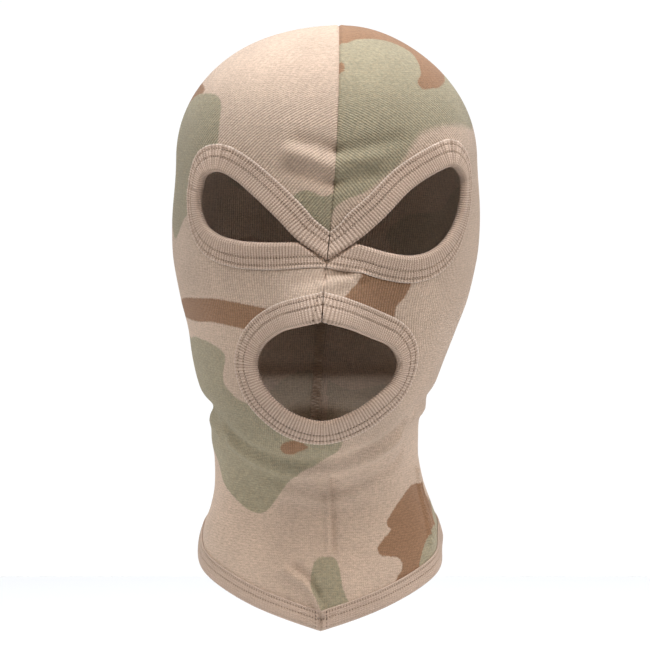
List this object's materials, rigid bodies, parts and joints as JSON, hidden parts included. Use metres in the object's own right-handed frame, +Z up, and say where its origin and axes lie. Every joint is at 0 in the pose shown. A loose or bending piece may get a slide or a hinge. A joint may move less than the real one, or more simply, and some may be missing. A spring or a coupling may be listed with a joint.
{
  "type": "three-hole balaclava",
  "caption": "Knitted camouflage balaclava with bound eye and mouth openings, a centre seam and a bound hem that comes to a point at the front of the neck.",
  "frame": {"origin": "point of the crown where the hood rests on the head, on its inner face", "axes": "+Z up through the crown, -Y out of the face, +X towards the wearer's left"},
  "size_m": [0.1633, 0.213, 0.308],
  "materials": {
    "camouflage_knit": "ribbed cotton knit printed in a desert camouflage of tan, pale green and brown",
    "binding_rib": "tan 1x1 rib knit, plain",
    "sewing_thread": "tan spun polyester sewing thread",
    "label_cloth": "white woven satin label, blank"
  },
  "bodies": {
    "root": {"care_label": "label_cloth", "care_label_stitch": "sewing_thread", "centre_seam_overlock": "camouflage_knit", "centre_seam_thread": "sewing_thread", "hem_binding": "binding_rib", "hem_inner_needle_thread": "sewing_thread", "hem_looper_thread": "sewing_thread", "hem_outer_needle_thread": "sewing_thread", "hood_panel": "camouflage_knit", "left_eye_binding": "binding_rib", "left_eye_inner_needle_thread": "sewing_thread", "left_eye_looper_thread": "sewing_thread", "left_eye_outer_needle_thread": "sewing_thread", "left_hem_point_stitch": "sewing_thread", "mouth_binding": "binding_rib", "mouth_inner_needle_thread": "sewing_thread", "mouth_join_stitch": "sewing_thread", "mouth_looper_thread": "sewing_thread", "mouth_outer_needle_thread": "sewing_thread", "right_eye_binding": "binding_rib", "right_eye_inner_needle_thread": "sewing_thread", "right_eye_looper_thread": "sewing_thread", "right_eye_outer_needle_thread": "sewing_thread", "right_hem_point_stitch": "sewing_thread"}
  },
  "joints": []
}
